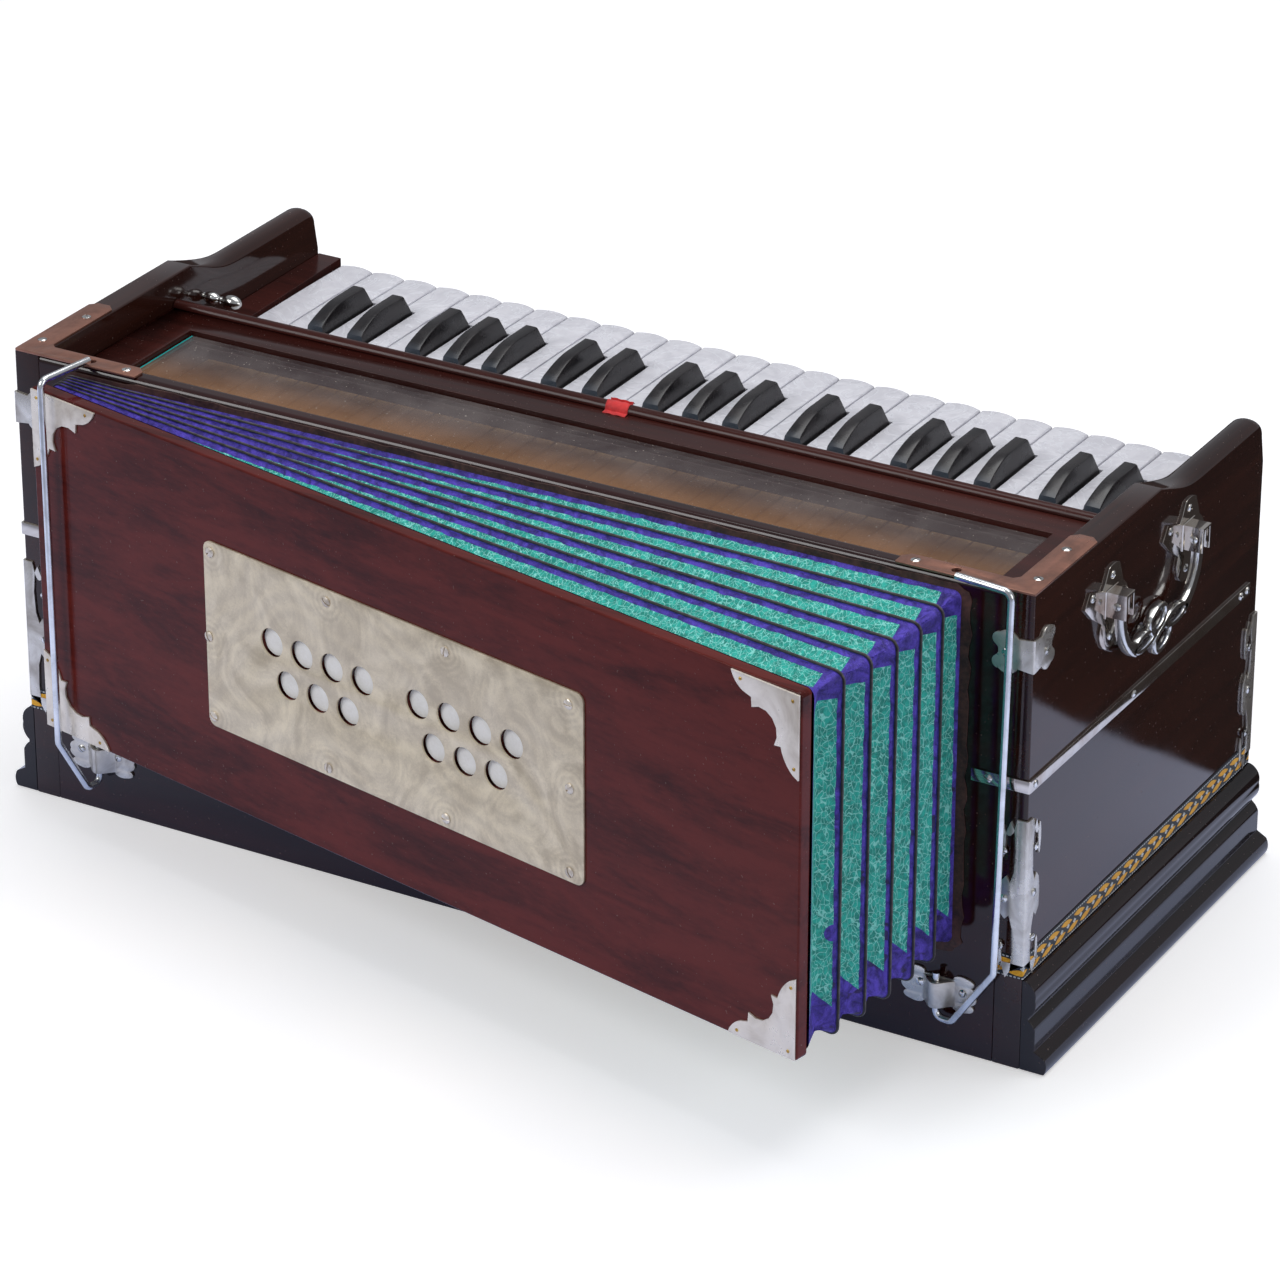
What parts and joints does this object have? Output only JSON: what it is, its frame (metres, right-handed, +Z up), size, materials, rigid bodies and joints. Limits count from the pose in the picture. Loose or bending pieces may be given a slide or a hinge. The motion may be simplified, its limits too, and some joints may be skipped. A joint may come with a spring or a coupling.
{
  "type": "harmonium",
  "caption": "Portable reed organ with a glass-topped wooden case, a piano keyboard, a hand-pumped folding bellows, wire clips, carrying handles and stop knobs.",
  "frame": {"origin": "middle of the underside that the case rests on", "axes": "+X along the case towards the low notes, +Y from the bellows towards the player, +Z up"},
  "size_m": [0.6506, 0.4407, 0.2778],
  "materials": {
    "case_lacquer": "gloss lacquer over dark mahogany",
    "moulding_lacquer": "gloss black-brown lacquer",
    "frame_lacquer": "gloss lacquer",
    "glass": "clear polished",
    "chest_wood": "light varnish",
    "reed_brass": "satin",
    "board_lacquer": "gloss lacquer",
    "plate_steel": "engine-turned and satin",
    "bellows_leather": "matt leather with cloth gussets",
    "fitting_steel": "polished sheet, lightly tarnished on top",
    "clip_chrome": "bright",
    "handle_chrome": "bright casting",
    "knob_chrome": "bright turned",
    "key_pearl": "pearl",
    "sharp_black": "polished"
  },
  "bodies": {
    "case": {"case_walls": "case_lacquer", "case_base": "moulding_lacquer", "side_cheeks": "case_lacquer", "top_frame": "frame_lacquer", "top_glass": "glass", "wind_chest": "chest_wood", "reed_plates": "reed_brass", "steel_fittings": "fitting_steel", "bellows_folds": "bellows_leather"},
    "pumping_board": {"bellows_board": "board_lacquer", "board_plates": "plate_steel"},
    "right_clip": {"right_clip": "clip_chrome"},
    "left_clip": {"left_clip": "clip_chrome"},
    "right_handle": {"right_handle": "handle_chrome"},
    "left_handle": {"left_handle": "handle_chrome"},
    "coupler_knob": {"coupler_knob": "knob_chrome"},
    "main_stop_knob": {"main_stop_knob": "knob_chrome"},
    "drone_stop_knob": {"drone_stop_knob": "knob_chrome"},
    "key_c_1": {"key_c_1": "key_pearl"},
    "key_c_sharp_1": {"key_c_sharp_1": "sharp_black"},
    "key_d_1": {"key_d_1": "key_pearl"},
    "key_d_sharp_1": {"key_d_sharp_1": "sharp_black"},
    "key_e_1": {"key_e_1": "key_pearl"},
    "key_f_1": {"key_f_1": "key_pearl"},
    "key_f_sharp_1": {"key_f_sharp_1": "sharp_black"},
    "key_g_1": {"key_g_1": "key_pearl"},
    "key_g_sharp_1": {"key_g_sharp_1": "sharp_black"},
    "key_a_1": {"key_a_1": "key_pearl"},
    "key_a_sharp_1": {"key_a_sharp_1": "sharp_black"},
    "key_b_1": {"key_b_1": "key_pearl"},
    "key_c_2": {"key_c_2": "key_pearl"},
    "key_c_sharp_2": {"key_c_sharp_2": "sharp_black"},
    "key_d_2": {"key_d_2": "key_pearl"},
    "key_d_sharp_2": {"key_d_sharp_2": "sharp_black"},
    "key_e_2": {"key_e_2": "key_pearl"},
    "key_f_2": {"key_f_2": "key_pearl"},
    "key_f_sharp_2": {"key_f_sharp_2": "sharp_black"},
    "key_g_2": {"key_g_2": "key_pearl"},
    "key_g_sharp_2": {"key_g_sharp_2": "sharp_black"},
    "key_a_2": {"key_a_2": "key_pearl"},
    "key_a_sharp_2": {"key_a_sharp_2": "sharp_black"},
    "key_b_2": {"key_b_2": "key_pearl"},
    "key_c_3": {"key_c_3": "key_pearl"},
    "key_c_sharp_3": {"key_c_sharp_3": "sharp_black"},
    "key_d_3": {"key_d_3": "key_pearl"},
    "key_d_sharp_3": {"key_d_sharp_3": "sharp_black"},
    "key_e_3": {"key_e_3": "key_pearl"},
    "key_f_3": {"key_f_3": "key_pearl"},
    "key_f_sharp_3": {"key_f_sharp_3": "sharp_black"},
    "key_g_3": {"key_g_3": "key_pearl"},
    "key_g_sharp_3": {"key_g_sharp_3": "sharp_black"},
    "key_a_3": {"key_a_3": "key_pearl"},
    "key_a_sharp_3": {"key_a_sharp_3": "sharp_black"},
    "key_b_3": {"key_b_3": "key_pearl"},
    "key_c_4": {"key_c_4": "key_pearl"},
    "key_c_sharp_4": {"key_c_sharp_4": "sharp_black"},
    "key_d_4": {"key_d_4": "key_pearl"},
    "key_d_sharp_4": {"key_d_sharp_4": "sharp_black"},
    "key_e_4": {"key_e_4": "key_pearl"},
    "key_f_4": {"key_f_4": "key_pearl"}
  },
  "joints": [
    {"name": "key_c_1_press", "type": "hinge", "parent": "case", "child": "key_c_1", "pos_m": [0.2684, -0.035, 0.212], "axis": [-1, 0, 0], "range_deg": [0, 3], "stiffness_Nm_per_rad": 0.5, "springref_deg": -11.46},
    {"name": "key_c_sharp_1_press", "type": "hinge", "parent": "case", "child": "key_c_sharp_1", "pos_m": [0.2552, -0.035, 0.212], "axis": [-1, 0, 0], "range_deg": [0, 3], "stiffness_Nm_per_rad": 0.5, "springref_deg": -11.46},
    {"name": "key_d_1_press", "type": "hinge", "parent": "case", "child": "key_d_1", "pos_m": [0.242, -0.035, 0.212], "axis": [-1, 0, 0], "range_deg": [0, 3], "stiffness_Nm_per_rad": 0.5, "springref_deg": -11.46},
    {"name": "key_d_sharp_1_press", "type": "hinge", "parent": "case", "child": "key_d_sharp_1", "pos_m": [0.2288, -0.035, 0.212], "axis": [-1, 0, 0], "range_deg": [0, 3], "stiffness_Nm_per_rad": 0.5, "springref_deg": -11.46},
    {"name": "key_e_1_press", "type": "hinge", "parent": "case", "child": "key_e_1", "pos_m": [0.2156, -0.035, 0.212], "axis": [-1, 0, 0], "range_deg": [0, 3], "stiffness_Nm_per_rad": 0.5, "springref_deg": -11.46},
    {"name": "key_f_1_press", "type": "hinge", "parent": "case", "child": "key_f_1", "pos_m": [0.20271, -0.035, 0.212], "axis": [-1, 0, 0], "range_deg": [0, 3], "stiffness_Nm_per_rad": 0.5, "springref_deg": -11.46},
    {"name": "key_f_sharp_1_press", "type": "hinge", "parent": "case", "child": "key_f_sharp_1", "pos_m": [0.19014, -0.035, 0.212], "axis": [-1, 0, 0], "range_deg": [0, 3], "stiffness_Nm_per_rad": 0.5, "springref_deg": -11.46},
    {"name": "key_g_1_press", "type": "hinge", "parent": "case", "child": "key_g_1", "pos_m": [0.17757, -0.035, 0.212], "axis": [-1, 0, 0], "range_deg": [0, 3], "stiffness_Nm_per_rad": 0.5, "springref_deg": -11.46},
    {"name": "key_g_sharp_1_press", "type": "hinge", "parent": "case", "child": "key_g_sharp_1", "pos_m": [0.165, -0.035, 0.212], "axis": [-1, 0, 0], "range_deg": [0, 3], "stiffness_Nm_per_rad": 0.5, "springref_deg": -11.46},
    {"name": "key_a_1_press", "type": "hinge", "parent": "case", "child": "key_a_1", "pos_m": [0.15243, -0.035, 0.212], "axis": [-1, 0, 0], "range_deg": [0, 3], "stiffness_Nm_per_rad": 0.5, "springref_deg": -11.46},
    {"name": "key_a_sharp_1_press", "type": "hinge", "parent": "case", "child": "key_a_sharp_1", "pos_m": [0.13986, -0.035, 0.212], "axis": [-1, 0, 0], "range_deg": [0, 3], "stiffness_Nm_per_rad": 0.5, "springref_deg": -11.46},
    {"name": "key_b_1_press", "type": "hinge", "parent": "case", "child": "key_b_1", "pos_m": [0.12729, -0.035, 0.212], "axis": [-1, 0, 0], "range_deg": [0, 3], "stiffness_Nm_per_rad": 0.5, "springref_deg": -11.46},
    {"name": "key_c_2_press", "type": "hinge", "parent": "case", "child": "key_c_2", "pos_m": [0.1144, -0.035, 0.212], "axis": [-1, 0, 0], "range_deg": [0, 3], "stiffness_Nm_per_rad": 0.5, "springref_deg": -11.46},
    {"name": "key_c_sharp_2_press", "type": "hinge", "parent": "case", "child": "key_c_sharp_2", "pos_m": [0.1012, -0.035, 0.212], "axis": [-1, 0, 0], "range_deg": [0, 3], "stiffness_Nm_per_rad": 0.5, "springref_deg": -11.46},
    {"name": "key_d_2_press", "type": "hinge", "parent": "case", "child": "key_d_2", "pos_m": [0.088, -0.035, 0.212], "axis": [-1, 0, 0], "range_deg": [0, 3], "stiffness_Nm_per_rad": 0.5, "springref_deg": -11.46},
    {"name": "key_d_sharp_2_press", "type": "hinge", "parent": "case", "child": "key_d_sharp_2", "pos_m": [0.0748, -0.035, 0.212], "axis": [-1, 0, 0], "range_deg": [0, 3], "stiffness_Nm_per_rad": 0.5, "springref_deg": -11.46},
    {"name": "key_e_2_press", "type": "hinge", "parent": "case", "child": "key_e_2", "pos_m": [0.0616, -0.035, 0.212], "axis": [-1, 0, 0], "range_deg": [0, 3], "stiffness_Nm_per_rad": 0.5, "springref_deg": -11.46},
    {"name": "key_f_2_press", "type": "hinge", "parent": "case", "child": "key_f_2", "pos_m": [0.04871, -0.035, 0.212], "axis": [-1, 0, 0], "range_deg": [0, 3], "stiffness_Nm_per_rad": 0.5, "springref_deg": -11.46},
    {"name": "key_f_sharp_2_press", "type": "hinge", "parent": "case", "child": "key_f_sharp_2", "pos_m": [0.03614, -0.035, 0.212], "axis": [-1, 0, 0], "range_deg": [0, 3], "stiffness_Nm_per_rad": 0.5, "springref_deg": -11.46},
    {"name": "key_g_2_press", "type": "hinge", "parent": "case", "child": "key_g_2", "pos_m": [0.02357, -0.035, 0.212], "axis": [-1, 0, 0], "range_deg": [0, 3], "stiffness_Nm_per_rad": 0.5, "springref_deg": -11.46},
    {"name": "key_g_sharp_2_press", "type": "hinge", "parent": "case", "child": "key_g_sharp_2", "pos_m": [0.011, -0.035, 0.212], "axis": [-1, 0, 0], "range_deg": [0, 3], "stiffness_Nm_per_rad": 0.5, "springref_deg": -11.46},
    {"name": "key_a_2_press", "type": "hinge", "parent": "case", "child": "key_a_2", "pos_m": [-0.00157, -0.035, 0.212], "axis": [-1, 0, 0], "range_deg": [0, 3], "stiffness_Nm_per_rad": 0.5, "springref_deg": -11.46},
    {"name": "key_a_sharp_2_press", "type": "hinge", "parent": "case", "child": "key_a_sharp_2", "pos_m": [-0.01414, -0.035, 0.212], "axis": [-1, 0, 0], "range_deg": [0, 3], "stiffness_Nm_per_rad": 0.5, "springref_deg": -11.46},
    {"name": "key_b_2_press", "type": "hinge", "parent": "case", "child": "key_b_2", "pos_m": [-0.02671, -0.035, 0.212], "axis": [-1, 0, 0], "range_deg": [0, 3], "stiffness_Nm_per_rad": 0.5, "springref_deg": -11.46},
    {"name": "key_c_3_press", "type": "hinge", "parent": "case", "child": "key_c_3", "pos_m": [-0.0396, -0.035, 0.212], "axis": [-1, 0, 0], "range_deg": [0, 3], "stiffness_Nm_per_rad": 0.5, "springref_deg": -11.46},
    {"name": "key_c_sharp_3_press", "type": "hinge", "parent": "case", "child": "key_c_sharp_3", "pos_m": [-0.0528, -0.035, 0.212], "axis": [-1, 0, 0], "range_deg": [0, 3], "stiffness_Nm_per_rad": 0.5, "springref_deg": -11.46},
    {"name": "key_d_3_press", "type": "hinge", "parent": "case", "child": "key_d_3", "pos_m": [-0.066, -0.035, 0.212], "axis": [-1, 0, 0], "range_deg": [0, 3], "stiffness_Nm_per_rad": 0.5, "springref_deg": -11.46},
    {"name": "key_d_sharp_3_press", "type": "hinge", "parent": "case", "child": "key_d_sharp_3", "pos_m": [-0.0792, -0.035, 0.212], "axis": [-1, 0, 0], "range_deg": [0, 3], "stiffness_Nm_per_rad": 0.5, "springref_deg": -11.46},
    {"name": "key_e_3_press", "type": "hinge", "parent": "case", "child": "key_e_3", "pos_m": [-0.0924, -0.035, 0.212], "axis": [-1, 0, 0], "range_deg": [0, 3], "stiffness_Nm_per_rad": 0.5, "springref_deg": -11.46},
    {"name": "key_f_3_press", "type": "hinge", "parent": "case", "child": "key_f_3", "pos_m": [-0.10529, -0.035, 0.212], "axis": [-1, 0, 0], "range_deg": [0, 3], "stiffness_Nm_per_rad": 0.5, "springref_deg": -11.46},
    {"name": "key_f_sharp_3_press", "type": "hinge", "parent": "case", "child": "key_f_sharp_3", "pos_m": [-0.11786, -0.035, 0.212], "axis": [-1, 0, 0], "range_deg": [0, 3], "stiffness_Nm_per_rad": 0.5, "springref_deg": -11.46},
    {"name": "key_g_3_press", "type": "hinge", "parent": "case", "child": "key_g_3", "pos_m": [-0.13043, -0.035, 0.212], "axis": [-1, 0, 0], "range_deg": [0, 3], "stiffness_Nm_per_rad": 0.5, "springref_deg": -11.46},
    {"name": "key_g_sharp_3_press", "type": "hinge", "parent": "case", "child": "key_g_sharp_3", "pos_m": [-0.143, -0.035, 0.212], "axis": [-1, 0, 0], "range_deg": [0, 3], "stiffness_Nm_per_rad": 0.5, "springref_deg": -11.46},
    {"name": "key_a_3_press", "type": "hinge", "parent": "case", "child": "key_a_3", "pos_m": [-0.15557, -0.035, 0.212], "axis": [-1, 0, 0], "range_deg": [0, 3], "stiffness_Nm_per_rad": 0.5, "springref_deg": -11.46},
    {"name": "key_a_sharp_3_press", "type": "hinge", "parent": "case", "child": "key_a_sharp_3", "pos_m": [-0.16814, -0.035, 0.212], "axis": [-1, 0, 0], "range_deg": [0, 3], "stiffness_Nm_per_rad": 0.5, "springref_deg": -11.46},
    {"name": "key_b_3_press", "type": "hinge", "parent": "case", "child": "key_b_3", "pos_m": [-0.18071, -0.035, 0.212], "axis": [-1, 0, 0], "range_deg": [0, 3], "stiffness_Nm_per_rad": 0.5, "springref_deg": -11.46},
    {"name": "key_c_4_press", "type": "hinge", "parent": "case", "child": "key_c_4", "pos_m": [-0.1936, -0.035, 0.212], "axis": [-1, 0, 0], "range_deg": [0, 3], "stiffness_Nm_per_rad": 0.5, "springref_deg": -11.46},
    {"name": "key_c_sharp_4_press", "type": "hinge", "parent": "case", "child": "key_c_sharp_4", "pos_m": [-0.2068, -0.035, 0.212], "axis": [-1, 0, 0], "range_deg": [0, 3], "stiffness_Nm_per_rad": 0.5, "springref_deg": -11.46},
    {"name": "key_d_4_press", "type": "hinge", "parent": "case", "child": "key_d_4", "pos_m": [-0.22, -0.035, 0.212], "axis": [-1, 0, 0], "range_deg": [0, 3], "stiffness_Nm_per_rad": 0.5, "springref_deg": -11.46},
    {"name": "key_d_sharp_4_press", "type": "hinge", "parent": "case", "child": "key_d_sharp_4", "pos_m": [-0.2332, -0.035, 0.212], "axis": [-1, 0, 0], "range_deg": [0, 3], "stiffness_Nm_per_rad": 0.5, "springref_deg": -11.46},
    {"name": "key_e_4_press", "type": "hinge", "parent": "case", "child": "key_e_4", "pos_m": [-0.2464, -0.035, 0.212], "axis": [-1, 0, 0], "range_deg": [0, 3], "stiffness_Nm_per_rad": 0.5, "springref_deg": -11.46},
    {"name": "key_f_4_press", "type": "hinge", "parent": "case", "child": "key_f_4", "pos_m": [-0.264, -0.035, 0.212], "axis": [-1, 0, 0], "range_deg": [0, 3], "stiffness_Nm_per_rad": 0.5, "springref_deg": -11.46},
    {"name": "bellows_swing", "type": "hinge", "parent": "case", "child": "pumping_board", "pos_m": [-0.276, -0.1575, 0], "axis": [0, 0, 1], "range_deg": [0, 12], "stiffness_Nm_per_rad": 4, "springref_deg": -11.46, "deforming": ["bellows_folds"]},
    {"name": "right_clip_turn", "type": "hinge", "parent": "case", "child": "right_clip", "pos_m": [0.263, -0.1442, 0.035], "axis": [0, 0, 1], "range_deg": [-66, 0]},
    {"name": "left_clip_turn", "type": "hinge", "parent": "case", "child": "left_clip", "pos_m": [-0.263, -0.1442, 0.035], "axis": [0, 0, 1], "range_deg": [-74, 0]},
    {"name": "right_handle_lift", "type": "hinge", "parent": "case", "child": "right_handle", "pos_m": [0.317, -0.0055, 0.233], "axis": [0, -1, 0], "range_deg": [0, 95]},
    {"name": "left_handle_lift", "type": "hinge", "parent": "case", "child": "left_handle", "pos_m": [-0.317, -0.0055, 0.233], "axis": [0, 1, 0], "range_deg": [0, 95]},
    {"name": "coupler_pull", "type": "slide", "parent": "case", "child": "coupler_knob", "axis": [1, 0, 0], "range_m": [0, 0.005]},
    {"name": "main_stop_pull", "type": "slide", "parent": "case", "child": "main_stop_knob", "axis": [0, 1, 0], "range_m": [0, 0.012]},
    {"name": "drone_stop_pull", "type": "slide", "parent": "case", "child": "drone_stop_knob", "axis": [0, 1, 0], "range_m": [0, 0.012]}
  ]
}
